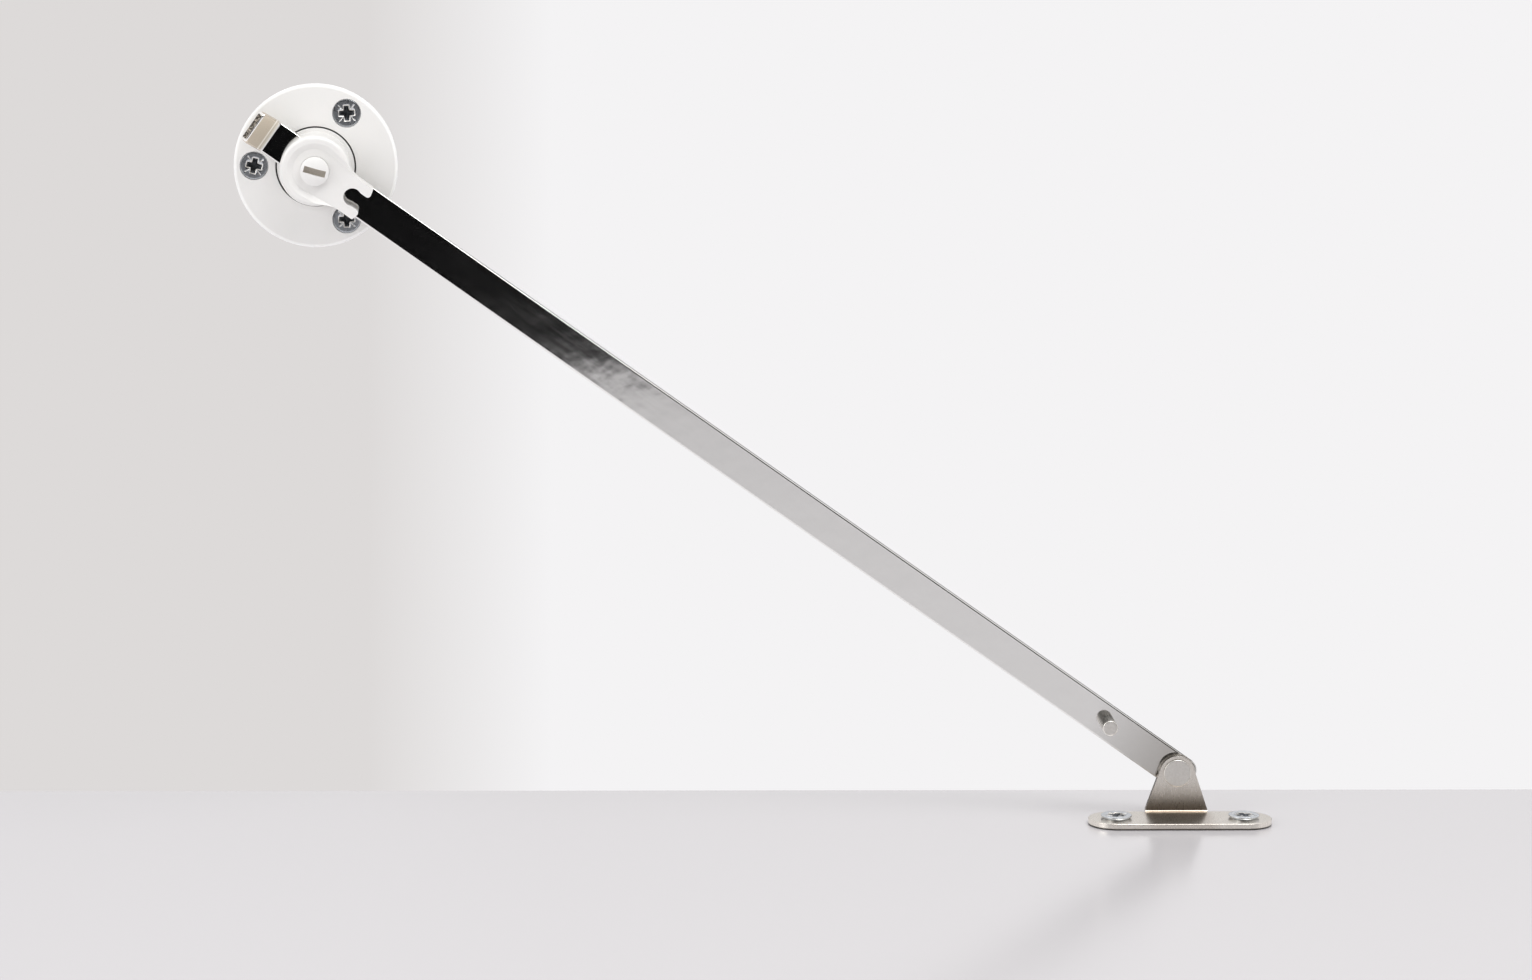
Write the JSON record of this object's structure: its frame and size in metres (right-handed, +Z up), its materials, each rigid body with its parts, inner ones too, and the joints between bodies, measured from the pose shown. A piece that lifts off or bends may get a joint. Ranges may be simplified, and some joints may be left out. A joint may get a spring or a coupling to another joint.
{
  "type": "lid stay",
  "caption": "Sliding lid stay for a drop-down cabinet flap: swivelling braked guide on a round screw-on disc, flat steel bar with end stop and catch pin, pivoting flap bracket.",
  "frame": {"origin": "centre of the mounting disc's back face, on the cabinet side", "axes": "+Z up, +Y into the cabinet side, +X towards the open flap's free edge"},
  "size_m": [0.2578, 0.0371, 0.1953],
  "materials": {
    "white_plastic": "moulded white nylon with a soft gloss",
    "polished_nickel": "bright nickel on smooth drawn steel",
    "satin_nickel": "satin nickel on stamped steel",
    "zinc_plate": "bright zinc with a blue passivate",
    "plain_steel": "plain turned steel",
    "friction_plastic": "dark friction plastic"
  },
  "bodies": {
    "base": {"mounting_disc": "white_plastic", "wall_screw_1": "zinc_plate", "wall_screw_2": "zinc_plate", "wall_screw_3": "zinc_plate"},
    "guide": {"swivel_hub": "white_plastic", "guide_cap": "white_plastic"},
    "adjuster": {"adjusting_knob": "white_plastic", "adjusting_screw": "plain_steel"},
    "brake": {"pressure_nut": "plain_steel", "disc_spring": "plain_steel", "brake_shoe": "friction_plastic"},
    "bar": {"stay_bar": "polished_nickel", "catch_pin": "satin_nickel", "pivot_rivet": "satin_nickel", "spacer_washer": "satin_nickel"},
    "bracket": {"flap_bracket": "satin_nickel", "flap_screw_left": "zinc_plate", "flap_screw_right": "zinc_plate"}
  },
  "joints": [
    {"name": "guide_swivel", "type": "hinge", "parent": "base", "child": "guide", "pos_m": [0, 0, 0], "axis": [0, -1, 0], "continuous": true},
    {"name": "bar_slide", "type": "slide", "parent": "guide", "child": "bar", "axis": [0.8192, 0, -0.5736], "range_m": [-0.2295, 0.0039]},
    {"name": "bracket_pivot", "type": "hinge", "parent": "bar", "child": "bracket", "pos_m": [0.21478, -0.0091, -0.15039], "axis": [0, -1, 0], "range_deg": [-40, 150]},
    {"name": "brake_adjust", "type": "hinge", "parent": "guide", "child": "adjuster", "pos_m": [0, 0, 0], "axis": [0, -1, 0], "range_deg": [0, 360]},
    {"name": "brake_travel", "type": "slide", "parent": "guide", "child": "brake", "axis": [0, -1, 0], "range_m": [0, 0.0005]}
  ],
  "couplings": [
    {"joint": "brake_adjust", "follows": "brake_travel", "rad_per_m": 12566}
  ]
}
